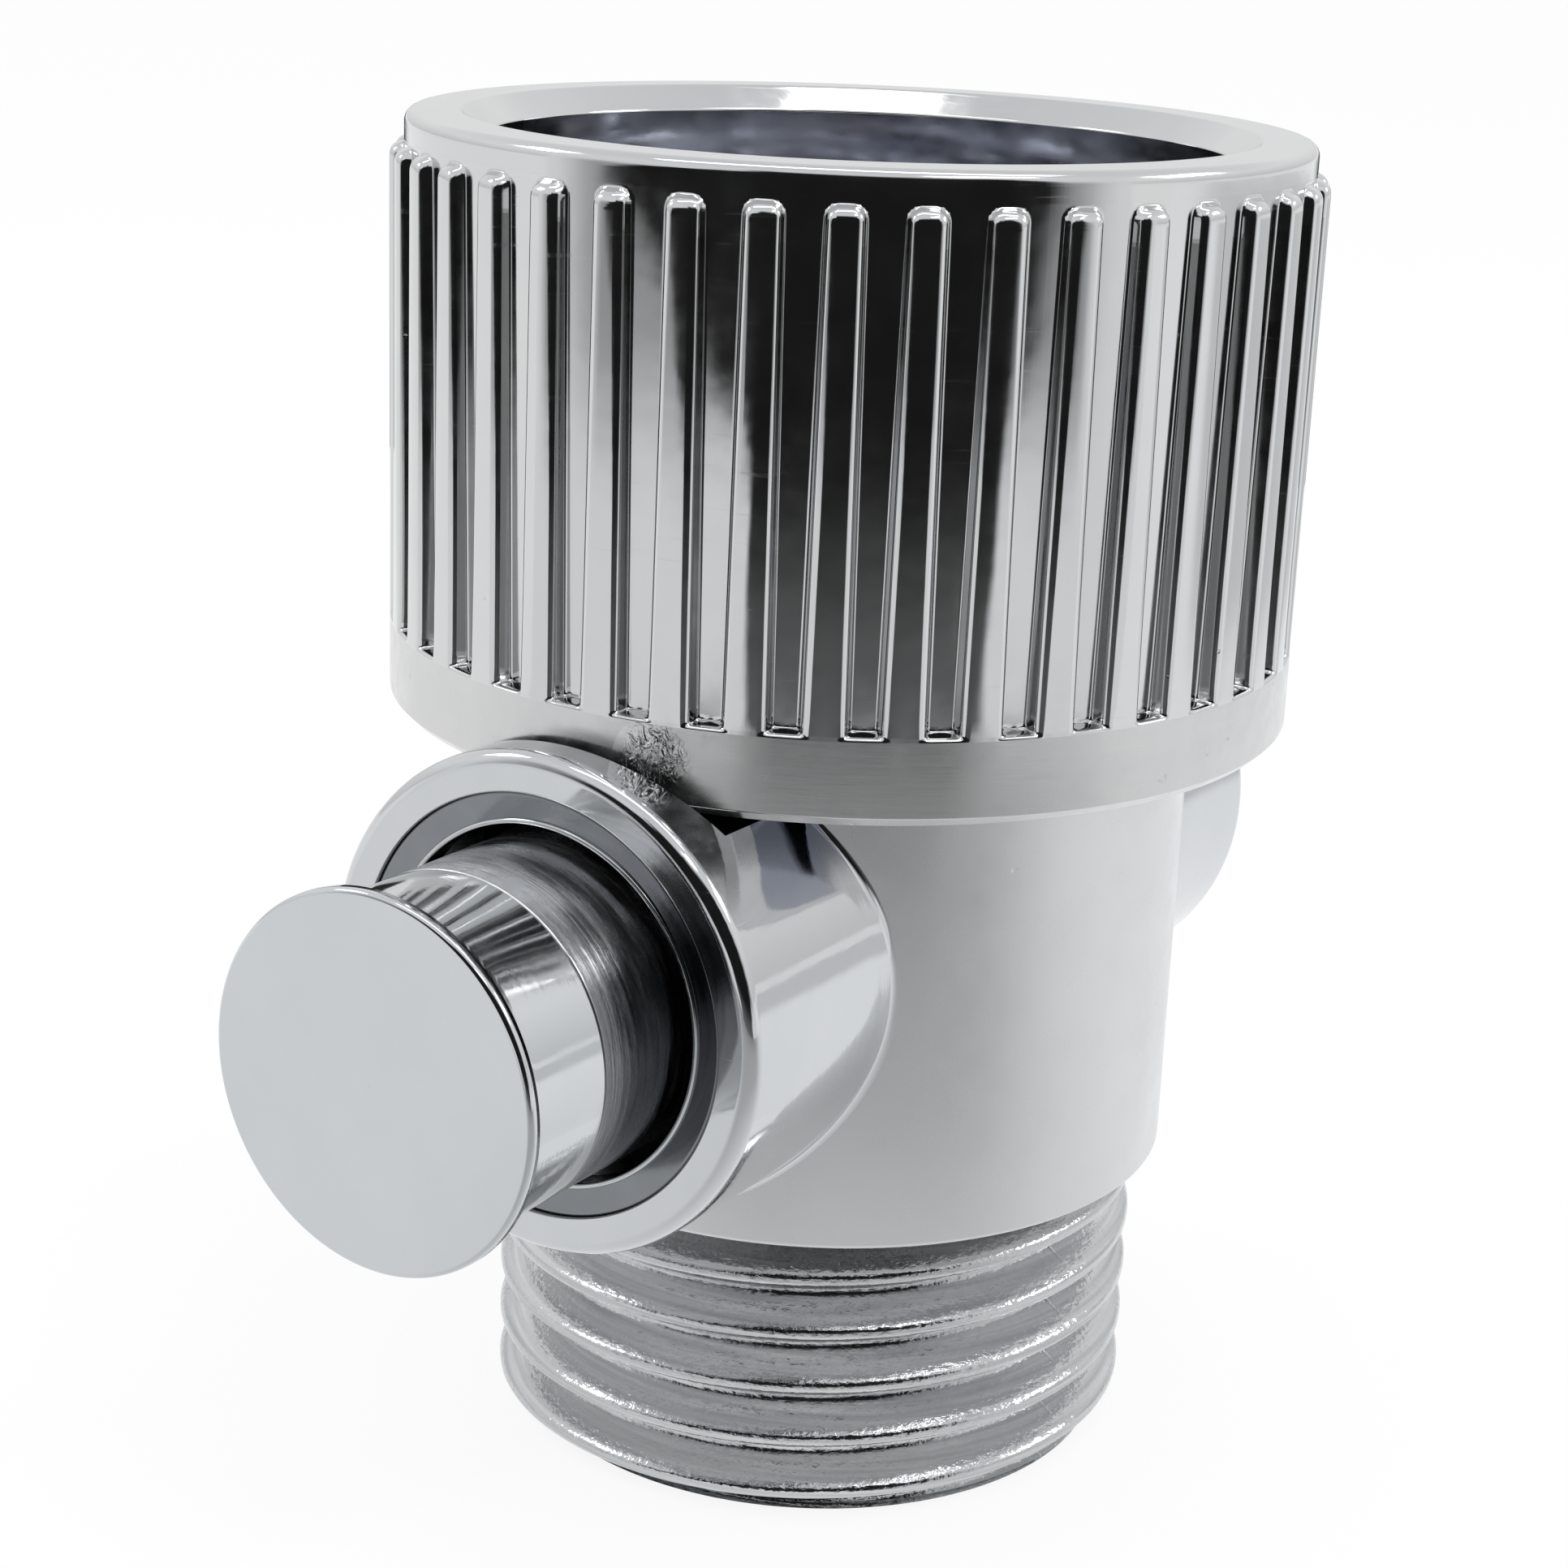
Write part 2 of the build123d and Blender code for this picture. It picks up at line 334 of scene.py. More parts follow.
def polished(name, low, high, rough, wave, scratch):
    """Bright plating: a slight wave, haze in patches, hairlines and a few pits."""
    s = Surface(name)
    s.color(s.noise(scale=0.35), low, high)
    haze = s.spread(s.noise(scale=0.8, detail=6), 0.35, 0.75, rough, rough * 2.2)
    hairs = s.spread(s.noise((0.25, 0.25, 7), 1.0, 3, 0.5, 0.6), 0.66, 0.72, 0.0, 0.07)
    s.roughness(s.math("ADD", haze, hairs))
    s.bump(s.noise(scale=0.45, detail=2), wave)
    s.bump(s.noise((6, 0.3, 0.3), 1.0, 3, 0.5, 0.8), scratch)
    s.bump(s.spread(s.noise(scale=2.2, detail=1), 0.13, 0.17, 0.0, 1.0), 0.01)
    return s.material


def nut_band():
    """Duller plating with specks, and the rough patch that the photograph shows above the boss."""
    rough_patch = (-13.9, -2.55, 25.25)
    s = Surface("nut_band")
    s.color(s.noise(scale=0.5), (0.57, 0.575, 0.58), (0.65, 0.65, 0.645))
    s.roughness(s.between(s.noise(scale=1.2, detail=6), 0.16, 0.30))
    s.bump(s.noise((0.4, 0.4, 5), 1.0, 4), 0.0015)
    s.bump(s.spread(s.noise(scale=1.6, detail=0), 0.10, 0.15, 0.0, 1.0), 0.02)
    flaw = s.spot(rough_patch, 0.35, 1.2)
    s.bump(s.math("MULTIPLY", flaw, s.noise((1, 1.6, 1), 2.6, 2, 0.5, 1.0)), 0.16)
    return s.material


def nut_turned():
    """The mouth and the inside of the nut, with rings from turning."""
    s = Surface("nut_turned")
    rings = s.noise((0.02, 0.02, 3.6), 1.0, 3, 0.6)
    s.color(s.spread(rings, 0.35, 0.65, 0, 1), (0.12, 0.135, 0.19), (0.36, 0.38, 0.44))
    s.roughness(s.between(s.noise((0.03, 0.03, 5), 1.0, 5), 0.08, 0.20))
    s.bump(rings, 0.012)
    return s.material


def barrel_satin():
    s = Surface("barrel_satin")
    s.color(s.noise(scale=0.3, detail=3), (0.585, 0.595, 0.60), (0.665, 0.667, 0.667))
    s.roughness(s.between(s.noise(scale=0.7, detail=6), 0.20, 0.31))
    s.bump(s.noise((1.6, 1.6, 0.25), 1.0, 5), 0.004)
    s.bump(s.spread(s.noise(scale=1.8, detail=0), 0.10, 0.14, 0.0, 1.0), 0.012)
    return s.material


def thread_cast():
    """Cast skin of the outlet thread, lumpy and streaked along the turns."""
    s = Surface("thread_cast")
    streaks = s.noise((0.1, 0.1, 8), 1.0, 4, 0.55, 0.1)
    s.color(s.between(streaks, 0, 1), (0.42, 0.43, 0.44), (0.64, 0.645, 0.65))
    s.roughness(s.between(s.noise(scale=3.5, detail=5), 0.06, 0.15))
    s.bump(s.noise((0.8, 0.8, 1.2), 4.5, 3, 0.55), 0.034)
    s.bump(streaks, 0.012)
    return s.material


def stem_steel():
    """Turned steel with a painted highlight along its top and just behind the front button, and tone from its
    turning rings.
    """
    s = Surface("stem_steel")
    rings = s.noise((5, 0.25, 0.25), 1.0, 5, 0.6, 0.3)
    # Painted highlight: the colour is lighter towards the stem's top and just behind the front button
    painted_sheen_and_rings = s.math("ADD", s.spread(s.along("X"), -BUTTON_BASE, 1.4 - BUTTON_BASE, 0.1, 0.0),
                  s.spread(s.along("Z"), BOSS_Z + 2.4, BOSS_Z + 4.4, 0.0, 1.0))
    painted_sheen_and_rings = s.math("ADD", painted_sheen_and_rings, s.spread(rings, 0.35, 0.65, 0.0, 0.2))
    s.color(painted_sheen_and_rings, (0.14, 0.145, 0.16), (0.70, 0.71, 0.73))
    s.roughness(s.between(s.noise((3, 0.5, 0.5), 1.0, 5), 0.14, 0.34))
    s.bump(rings, 0.012)
    s.bump(s.noise(scale=4, detail=4), 0.006)
    return s.material


def bush_chrome():
    s = Surface("bush_chrome")
    s.color(s.noise(scale=0.5), (0.19, 0.20, 0.21), (0.26, 0.27, 0.285))
    s.roughness(s.between(s.noise(scale=1.5, detail=5), 0.07, 0.16))
    s.bump(s.noise((4, 0.6, 0.6), 1.0, 3), 0.003)
    return s.material


def seal_rubber():
    s = Surface("seal_rubber", metallic=0.0)
    s.color(s.noise(scale=1.5, detail=5), (0.012, 0.012, 0.013), (0.035, 0.035, 0.037))
    s.roughness(s.between(s.noise(scale=5, detail=4), 0.42, 0.68))
    s.bump(s.noise(scale=7, detail=4), 0.012)
    return s.material


def screen_wire():
    s = Surface("screen_wire")
    s.color(s.noise(scale=2), (0.44, 0.45, 0.46), (0.60, 0.61, 0.62))
    s.roughness(s.between(s.noise(scale=6, detail=4), 0.18, 0.38))
    s.bump(s.noise(scale=9, detail=3), 0.004)
    return s.material


def tailpiece_brass():
    s = Surface("tailpiece_brass")
    s.color(s.noise((0.4, 0.4, 3), 1.0, 4), (0.62, 0.44, 0.19), (0.76, 0.58, 0.29))
    s.roughness(s.between(s.noise(scale=2, detail=5), 0.18, 0.40))
    s.bump(s.noise((0.1, 0.1, 6), 1.0, 4), 0.008)
    return s.material


def slip_plastic():
    s = Surface("slip_plastic", metallic=0.0)
    s.color(s.noise(scale=1.2, detail=4), (0.70, 0.69, 0.64), (0.80, 0.79, 0.75))
    s.roughness(s.between(s.noise(scale=4, detail=4), 0.35, 0.55))
    s.bump(s.noise(scale=6, detail=3), 0.006)
    return s.material


def make_materials():
    return {
        "nut": polished("nut_chrome", (0.60, 0.61, 0.62), (0.66, 0.66, 0.66), 0.06, 0.009, 0.0006),
        # A darker copy of the nut's chrome for the ribs' walls: painted shade in the grooves
        "groove": polished("nut_wall_shade", (0.34, 0.345, 0.35), (0.42, 0.42, 0.42), 0.09, 0.006, 0.0006),
        "band": nut_band(),
        "turned": nut_turned(),
        "satin": barrel_satin(),
        "boss": polished("boss_chrome", (0.58, 0.595, 0.61), (0.64, 0.648, 0.655), 0.05, 0.012, 0.0008),
        "cast": thread_cast(),
        "button": polished("button_chrome", (0.58, 0.605, 0.625), (0.65, 0.66, 0.665), 0.06, 0.008, 0.0016),
        "stem": stem_steel(),
        "bush": bush_chrome(),
        "rubber": seal_rubber(),
        "wire": screen_wire(),
        "brass": tailpiece_brass(),
        "nylon": slip_plastic(),
    }


# Casting

def thread_form(flat, blur):
    """Height of a thread over one pitch about its crest, 1 on the crest and 0 at the root."""
    samples, window = 600, 90
    place = np.linspace(-0.5, 0.5, samples + 1)
    flank = THREAD_DEPTH * math.tan(FLANK_ANGLE) / PITCH
    sharp = np.clip((flat + flank - np.abs(place)) / flank, 0, 1)
    kernel = np.exp(-0.5 * (np.arange(-window, window + 1) / blur) ** 2)
    eased = np.convolve(np.concatenate([sharp[:-1]] * 3), kernel / kernel.sum(), "same")
    eased = eased[samples:2 * samples]
    return place, np.append(eased, eased[0])


def helix(rows, angle):
    """Height of a right-hand thread at every row and angle; its crests are rounder on their upper side."""
    crest_in_front, change = 8.19, 0.06
    z = rows[:, None] + 0 * angle
    crest = crest_in_front + PITCH * (np.degrees(angle) - CAMERA_POLAR) / 360
    phase = ((z - crest) / PITCH + 0.5) % 1 - 0.5
    above = np.interp(phase, *thread_form(0.095, 30.0))
    below = np.interp(phase, *thread_form(0.085, 11.0))
    return z, below + (above - below) * np.clip(0.5 + phase / change, 0, 1)


def outlet_thread():
    """The male thread with its run-out, the lead at its end and the mould's parting line at the roots."""
    row_step, run_out, lead_height = 0.062, 0.7, 0.449
    parting = math.radians(CAMERA_POLAR + 53)
    seam_width, seam_height = 0.005, 0.07
    angle = np.sort(np.concatenate([np.linspace(0, FULL_TURN, 216, endpoint=False) + 0.001,
                                    parting % FULL_TURN + np.linspace(-0.012, 0.012, 9)]))
    z, form = helix(np.arange(0.0, SHOULDER_Z, row_step), angle)
    r = MINOR_R + THREAD_DEPTH * form * smooth(SHOULDER_Z - 0.1 - z, 0, run_out)
    seam = np.exp(-((np.mod(angle - parting + math.pi, FULL_TURN) - math.pi) / seam_width) ** 2)
    r = r + seam_height * seam * (1 - form)
    lead = OUTLET_END_R + 0.02 + z * (MAJOR_R - OUTLET_END_R) / lead_height
    return polar(np.minimum(r, lead), angle, z)


def boss_patches():
    """The boss on the +X side: its side above and below the barrel's top, rim, face, ledge and nut cut."""
    ease = 0.16
    rim_start = BOSS_REACH - 0.9
    split = math.asin((BARREL_TOP - BOSS_Z) / BOSS_R)
    rim = rounded((rim_start, BOSS_R), (BOSS_REACH, BOSS_R, 0.42), (BOSS_REACH, BUSH_R, 0.07),
                  (BOSS_REACH - 1, BUSH_R))
    patches = []
    for first, last, columns in ((split, math.pi - split, 48), (math.pi - split, FULL_TURN + split, 150)):
        turn = np.linspace(first, last, columns)
        rows = []
        if first == split:
            rows.append((beside(NUT_CLEAR_R, BOSS_R * np.cos(turn)), BOSS_R))
        else:
            for lean in np.radians([90, 72, 54, 36, 18, 0]):
                r = BOSS_R + ease * (1 - math.cos(lean))
                rows.append((beside(BARREL_R, r * np.cos(turn)) + ease * (1 - math.sin(lean)), r))
            start = beside(BARREL_R, BOSS_R * np.cos(turn)) + ease
            rows += [(start + share * (rim_start - start), BOSS_R) for share in (0.1, 0.35, 0.7)]
        rows += list(rim)
        grid = [np.stack([x + 0 * turn, r * np.cos(turn), BOSS_Z + r * np.sin(turn)], -1) for x, r in rows]
        patches.append(np.stack(grid))
    y = np.linspace(-1, 1, 41) * BOSS_R * math.cos(split)
    low = np.stack([beside(BARREL_R, y) - 0.2, y, 0 * y + BARREL_TOP], -1)
    high = np.stack([beside(NUT_CLEAR_R, y), y, 0 * y + BARREL_TOP], -1)
    top = np.stack([beside(NUT_CLEAR_R, y), y, BOSS_Z + beside(BOSS_R, y)], -1)
    return patches + [np.stack([high, low]), np.stack([top, high])]


def port_ceiling():
    """The ceiling of the outlet bore with the off-centre port in it, and the port's wall."""
    columns, ceiling_r = 72, OUTLET_BORE_R + 0.05
    port_edge, port_end = OUTLET_BORE_TOP + 0.042, 13.0
    turn = np.linspace(0, FULL_TURN, columns, endpoint=False)
    ray = np.stack([np.cos(turn), np.sin(turn)], -1)
    centre = np.array([PORT_X, 0])
    lean = PORT_X * ray[:, 0]
    reach = np.sqrt(lean ** 2 - PORT_X ** 2 + ceiling_r ** 2) - lean
    edge, ring = centre + ray * reach[:, None], centre + PORT_R * ray
    levels = [(edge, OUTLET_BORE_TOP), (ring + (edge - ring) * 0.05, OUTLET_BORE_TOP), (ring, port_edge),
              (ring, port_end)]
    rows = np.stack([np.append(flat, np.full((columns, 1), z), 1) for flat, z in levels])
    return [rows[2::-1, ::-1], rows[2:, ::-1]]


def make_body(m):
    """The casting: barrel, neck with its socket, outlet thread and bore, and both bosses."""
    edge = 0.14
    rows = np.linspace(SHOULDER_Z + 0.2, BARREL_TOP - 0.2, 64)[2:-2]
    barrel = np.concatenate([
        rounded((MINOR_R - 0.4, SHOULDER_Z), (BARREL_R, SHOULDER_Z, edge), (BARREL_R, SHOULDER_Z + 2))[:-1],
        np.stack([0 * rows + BARREL_R, rows], -1),
        rounded((BARREL_R, BARREL_TOP - 2), (BARREL_R, BARREL_TOP, edge), (NECK_R, BARREL_TOP, 0.1),
                (NECK_R, NECK_TOP, 0.1), (SOCKET_R, NECK_TOP, 0.1), (SOCKET_R, SOCKET_FLOOR, 0.05),
                (0.02, SOCKET_FLOOR))[1:],
    ])
    bore = rounded((OUTLET_BORE_R, OUTLET_BORE_TOP), (OUTLET_BORE_R, 0.02, 0.12), (OUTLET_END_R + 0.02, 0.0))
    patches = [
        (lathe(barrel, 256), 0, True),
        (outlet_thread(), 2, True),
        (lathe(bore), 2, True),
    ]
    patches += [(grid, 2, True) for grid in port_ceiling()]
    for grid in boss_patches():
        patches += [(grid, 1, False), (half_turn(grid), 1, False)]
    piece("valve_casting", "valve_body", ["body"],
          [m["satin"], m["boss"], m["cast"]], patches)


# Nut

def rib_relief():
    """Edge form of a rib: its height against the distance from the middle of its wall."""
    far, half_wall = 0.7, 0.069
    return rounded((-far, RIB_HEIGHT), (-half_wall, RIB_HEIGHT, 0.24), (half_wall, 0.0, 0.09), (far, 0.0),
                   steps=4).T


def nut_ribs():
    """The outside from the band over the drafted ribs to the rim, and how far up a rib each point is."""
    away, height = rib_relief()
    inner = away[1:-1]
    pitch = FULL_TURN * NUT_CORE_R / RIBS
    tip = RIB_TOP - 0.16
    half_low, half_high = 0.6355, 0.4967
    steep = 2.2
    nose = 0.6
    crown = 0.055
    corner = 0.34
    ease = 0.16
    rows = np.concatenate([
        [BAND_TOP],
        SHELF_Z + inner / steep,
        SHELF_Z + np.array([0.12, 0.2]),
        np.linspace(SHELF_Z + 0.5, tip - 1.1, 6),
        np.linspace(tip - 1.0, tip - 0.37, 9),
        tip + inner,
        [RIM_BOTTOM],
    ])[:, None]
    floor = np.interp(rows, [SHELF_Z, RIB_TOP], [NUT_CORE_R, RIM_R])
    half = np.interp(rows, [SHELF_Z, RIB_TOP], [half_low, half_high])

    # Places across one rib, from the middle of one groove to the next
    side = half + inner
    gap = (side[:, -1:] + pitch / 2) / 2
    right = np.concatenate([0 * half, side[:, :1] / 2, side, gap, 0 * half + pitch / 2], 1)
    t = np.concatenate([-right[:, 1:-1][:, ::-1], right], 1)
    z = rows + 0 * t

    # Distance from the wall of the rib, eased into the band below it
    qx, qz = np.abs(t) - (half - corner), z - tip + corner
    rib = np.hypot(np.maximum(qx, 0), np.maximum(qz, 0)) + np.minimum(np.maximum(qx, qz), 0) - corner
    band = steep * (z - SHELF_Z)
    share = np.clip(0.5 + 0.5 * (band - rib) / ease, 0, 1)
    distance = band + (rib - band) * share - ease * share * (1 - share)
    relief = np.interp(distance, away, height) / RIB_HEIGHT

    # Round tips and crowned crests
    low = np.clip((RIB_TOP - z) / nose, 0, 1)
    bulge = crown * (np.minimum(np.abs(t) / half, 1) ** 2) * np.clip(z - SHELF_Z, 0, 1)
    r = floor + relief * ((NUT_R - floor) * np.sqrt(1 - (1 - low) ** 2) - bulge)
    turns = np.radians(RIB_PHASE + np.arange(RIBS) * 360 / RIBS)
    return np.concatenate([polar(r, turn + t / NUT_CORE_R, z) for turn in turns], 1), np.tile(relief, RIBS)


def nut_rim():
    """Profiles of the rolled rim with the mouth's flare, and of the turned mouth below it."""
    rim = rounded((RIM_R, RIM_BOTTOM), (RIM_R, NUT_TOP, 0.8), (MOUTH_R + MOUTH_FLARE, NUT_TOP, 0.2),
                  (MOUTH_R, MOUTH_EDGE, 0.12), (MOUTH_R, MOUTH_FLOOR, 0.1), (MAJOR_R, MOUTH_FLOOR), steps=9)
    top = int(np.argmax(rim[:, 1] >= NUT_TOP - 1e-4))
    flare = top + int(np.argmax(rim[top:, 1] < MOUTH_EDGE - 0.2))
    return rim[:flare + 1], rim[flare:]


def inlet_thread():
    """The female thread from the mouth down to the relief above the washer."""
    row_step, run_out = 0.1, 0.6
    angle = np.linspace(0, FULL_TURN, NUT_COLUMNS, endpoint=False)
    z, form = helix(np.arange(MOUTH_FLOOR, INLET_FOOT, -row_step), angle)
    ends = np.clip((MOUTH_FLOOR - z) / run_out, 0, 1) * np.clip((z - INLET_FOOT - 0.3) / run_out, 0, 1)
    return polar(MAJOR_R + 0.02 - THREAD_DEPTH * form * ends, angle, z)


def make_nut(m):
    """The nut, with a material each for its ribs, inside, band and the walls of its ribs, whose darker copy
    of the chrome is painted shade.
    """
    ribs, relief = nut_ribs()
    rim, mouth = nut_rim()
    edge = rounded((NUT_FOOT_R, NUT_BOTTOM), (NUT_R - NUT_EDGE, NUT_BOTTOM, 0.06),
                   (NUT_R, NUT_BOTTOM + NUT_EDGE, 0.06), (NUT_R, BAND_TOP), steps=3)
    hole_r = NECK_R + SWIVEL_GAP
    inside = rounded((MAJOR_R, INLET_FOOT + 0.05), (NUT_RELIEF_R, INLET_FOOT - 0.1, 0.1),
                     (NUT_RELIEF_R, LIP_TOP, 0.15), (hole_r, LIP_TOP, 0.1), (hole_r, NUT_BOTTOM, 0.1),
                     (NUT_FOOT_R, NUT_BOTTOM))
    patches = [
        (ribs, 0, True),
        (lathe(edge, NUT_COLUMNS), 2, True),
        (lathe(rim, NUT_COLUMNS), 0, True),
        (lathe(mouth, NUT_COLUMNS), 1, True),
        (inlet_thread(), 1, True),
        (lathe(inside, NUT_COLUMNS), 1, True),
    ]
    made = piece("ribbed_nut", "nut", ["swivel_nut"],
                 [m["nut"], m["turned"], m["band"], m["groove"]], patches)

    # The ribs' lowest row of faces belongs to the band, and their walls get the darker chrome, painted shade
    # in the grooves
    index = np.zeros(len(made.data.polygons), np.int32)
    made.data.polygons.foreach_get("material_index", index)
    index[:ribs.shape[1]] = 2
    steps = relief[:-1] + relief[1:]
    steps = (steps + np.roll(steps, -1, 1)) / 4
    height = ribs[:-1, :, 2]
    wall = (steps > 0.15) & (steps < 0.8) & (height > SHELF_Z + 0.15) & (height < RIB_TOP - 1.2)
    index[:wall.size][wall.ravel()] = 3
    made.data.polygons.foreach_set("material_index", index)


# Buttons, spool and the small pieces

def make_buttons(m):
    """Both buttons, each turned with its flat face, thin lip and flared neck."""
    hole_r, hole_depth = STUD_R + 0.05, STUD_LENGTH + 0.2
    lip_start, flare_start = BUTTON_REACH - LIP_RIM, BUTTON_REACH - LIP_NECK
    neck = rounded((hole_r, BUTTON_BASE + hole_depth), (hole_r, BUTTON_BASE, 0.05),
                   (SPOOL_R, BUTTON_BASE, 0.06), (SPOOL_R, flare_start), steps=4)
    s = np.linspace(0.1, 0.98, 9)
    flare = np.stack([SPOOL_R + (LIP_R - SPOOL_R) * s ** 2,
                      flare_start + (lip_start - flare_start) * (1 - (1 - s) ** 2)], -1)
    lip = rounded((LIP_R, lip_start), (LIP_R, BUTTON_REACH, 0.15), (0.01, BUTTON_REACH), steps=6)
    grid = across(lathe(np.concatenate([neck, flare, lip]), 176))
    piece("front_cap", "spool_set", ["front_button"], [m["button"]],
          [(half_turn(grid), 0, True)])
    piece("rear_cap", "spool_set", ["rear_button"], [m["button"]],
          [(slid(grid, -TRAVEL), 0, True)])


def make_spool(m):
    """The spool with its grooved lands, waists and end studs."""
    stud_end = SPOOL_HALF + STUD_LENGTH
    land_half = GROOVE_HALF + LAND
    corners = [(0.01, -stud_end), (STUD_R, -stud_end, 0.1), (STUD_R, -SPOOL_HALF, 0.05),
               (SPOOL_R, -SPOOL_HALF, 0.06)]
    for index, place in enumerate((-END_SEAL, SPOOL_MIDDLE, END_SEAL)):
        low, high = place - GROOVE_HALF, place + GROOVE_HALF
        if index:
            corners += [(WAIST_R, place - land_half, 0.1), (SPOOL_R, place - land_half, 0.08)]
        corners += [(SPOOL_R, low, 0.06), (RING_FLOOR_R, low, 0.06), (RING_FLOOR_R, high, 0.06),
                    (SPOOL_R, high, 0.06)]
        if index < 2:
            corners += [(SPOOL_R, place + land_half, 0.08), (WAIST_R, place + land_half, 0.1)]
    corners += [(SPOOL_R, SPOOL_HALF, 0.06), (STUD_R, SPOOL_HALF, 0.05), (STUD_R, stud_end, 0.1),
                (0.01, stud_end)]
    grid = slid(across(lathe(rounded(*corners, steps=3), 128)), SPOOL_MIDDLE)
    piece("slide_spool", "spool_set", ["spool"], [m["stem"]], [(grid, 0, True)])


def make_bushes(m):
    """The pressed bushes, each with a dished face and a lip round its bore in the boss's brighter chrome, a
    painted highlight at the bore's edge.
    """
    lip_inner, lip_outer = BUSH_BORE_R - 0.02, BUSH_BORE_R + 0.15
    lip_back, lip_face = BUSH_FACE - 0.35, BUSH_FACE - 0.09
    ring = rounded((BUSH_BORE_R, BUSH_SEAT, 0.05), (BUSH_R, BUSH_SEAT, 0.05), (BUSH_R, BUSH_FACE, 0.09),
                   (BUSH_BORE_R, BUSH_FACE - BUSH_DISH, 0.16), closed=True)
    lip = rounded((lip_inner, lip_back, 0.05), (lip_outer, lip_back, 0.05), (lip_outer, lip_face, 0.08),
                  (lip_inner, lip_face, 0.08), closed=True)
    grids = [across(lathe(ring, 176)), across(lathe(lip, 176))]
    # The lip's shape is real; its brighter chrome is a painted highlight along the bore's edge
    both = [m["bush"], m["boss"]]
    piece("mouth_ring_front", "valve_body", ["front_bush"], both,
          [(half_turn(grid), index, True) for index, grid in enumerate(grids)])
    piece("mouth_ring_rear", "valve_body", ["rear_bush"], both,
          [(grid, index, True) for index, grid in enumerate(grids)])


def make_washer(m):
    ring = rounded((WASHER_BORE_R, FLANGE_TOP, 0.15), (FLANGE_R, FLANGE_TOP, 0.2),
                   (FLANGE_R, WASHER_TOP, 0.25), (WASHER_BORE_R, WASHER_TOP, 0.25), closed=True)
    piece("rubber_washer", "valve_body", ["inlet_washer"], [m["rubber"]],
          [(lathe(ring), 0, True)])


def make_screen(m):
    """The filter: wires woven over and under each other inside a thin ring."""
    step, wire, reach = 0.62, 0.07, 6.25
    ring_inner, ring_bottom = 6.15, FLANGE_TOP - SCREEN_HEIGHT
    middle = FLANGE_TOP - SCREEN_HEIGHT / 2
    turn = np.linspace(0, FULL_TURN, 6, endpoint=False)
    count = int(reach / step)
    patches = []
    for index in range(-count, count + 1):
        offset = index * step
        span = beside(reach, offset)
        along = np.linspace(-span, span, max(8, int(span * 16)))
        lift = wire * np.cos(math.pi * along / step) * (-1) ** index
        x = along[:, None] + 0 * turn
        y = offset + wire * np.cos(turn) + 0 * x
        z = middle + lift[:, None] + wire * np.sin(turn)
        patches.append((np.stack([x, y, z], -1), 0, True))
        patches.append((np.stack([-y, x, 2 * middle - z], -1), 0, True))
    ring = rounded((ring_inner, ring_bottom, 0.08), (SCREEN_R, ring_bottom, 0.08),
                   (SCREEN_R, FLANGE_TOP, 0.08), (ring_inner, FLANGE_TOP, 0.08), closed=True, steps=3)
    patches.append((lathe(ring, 96), 0, True))
    piece("woven_screen", "valve_body", ["filter_screen"], [m["wire"]], patches)


def dress_inner(m):
    """Pieces inside the valve keep their solids and get their materials."""
    chosen = {"inlet_tailpiece": "brass", "nut_slip_washer": "nylon", "tailpiece_o_ring": "rubber",
              "front_o_ring": "rubber", "middle_o_ring": "rubber", "rear_o_ring": "rubber"}
    for node, key in chosen.items():
        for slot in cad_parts[node].material_slots:
            slot.material = m[key]


# Stage, light and camera

def bare_tree(owner):
    """The emptied node tree of a material or a world."""
    owner.use_nodes = True
    owner.node_tree.nodes.clear()
    return owner.node_tree


def make_floor():
    """A pale floor that takes the valve's shadow, and is nearly white to the camera and in the metal."""
    half, glow_share = 12000, 0.86
    material = bpy.data.materials.new("pale_floor")
    tree = bare_tree(material)
    out = tree.nodes.new("ShaderNodeOutputMaterial")
    mix = tree.nodes.new("ShaderNodeMixShader")
    matte = tree.nodes.new("ShaderNodeBsdfDiffuse")
    matte.inputs["Color"].default_value = (0.97, 0.97, 0.97, 1)
    glow = tree.nodes.new("ShaderNodeEmission")
    path = tree.nodes.new("ShaderNodeLightPath")
    seen = path.outputs["Is Camera Ray"]
    for kind in ("Is Glossy Ray", "Is Transmission Ray"):
        either = tree.nodes.new("ShaderNodeMath")
        either.operation = "MAXIMUM"
        tree.links.new(seen, either.inputs[0])
        tree.links.new(path.outputs[kind], either.inputs[1])
        seen = either.outputs[0]
    share = tree.nodes.new("ShaderNodeMath")
    share.operation = "MULTIPLY"
    share.inputs[1].default_value = glow_share
    tree.links.new(seen, share.inputs[0])
    tree.links.new(share.outputs[0], mix.inputs[0])
    tree.links.new(matte.outputs[0], mix.inputs[1])
    tree.links.new(glow.outputs[0], mix.inputs[2])
    tree.links.new(mix.outputs[0], out.inputs[0])
    mesh = bpy.data.meshes.new("floor")
    corners = ((-1, -1), (1, -1), (1, 1), (-1, 1))
    mesh.from_pydata([(x * half * MM, y * half * MM, 0) for x, y in corners], [], [(0, 1, 2, 3)])
    mesh.materials.append(material)
    placed("floor", mesh)


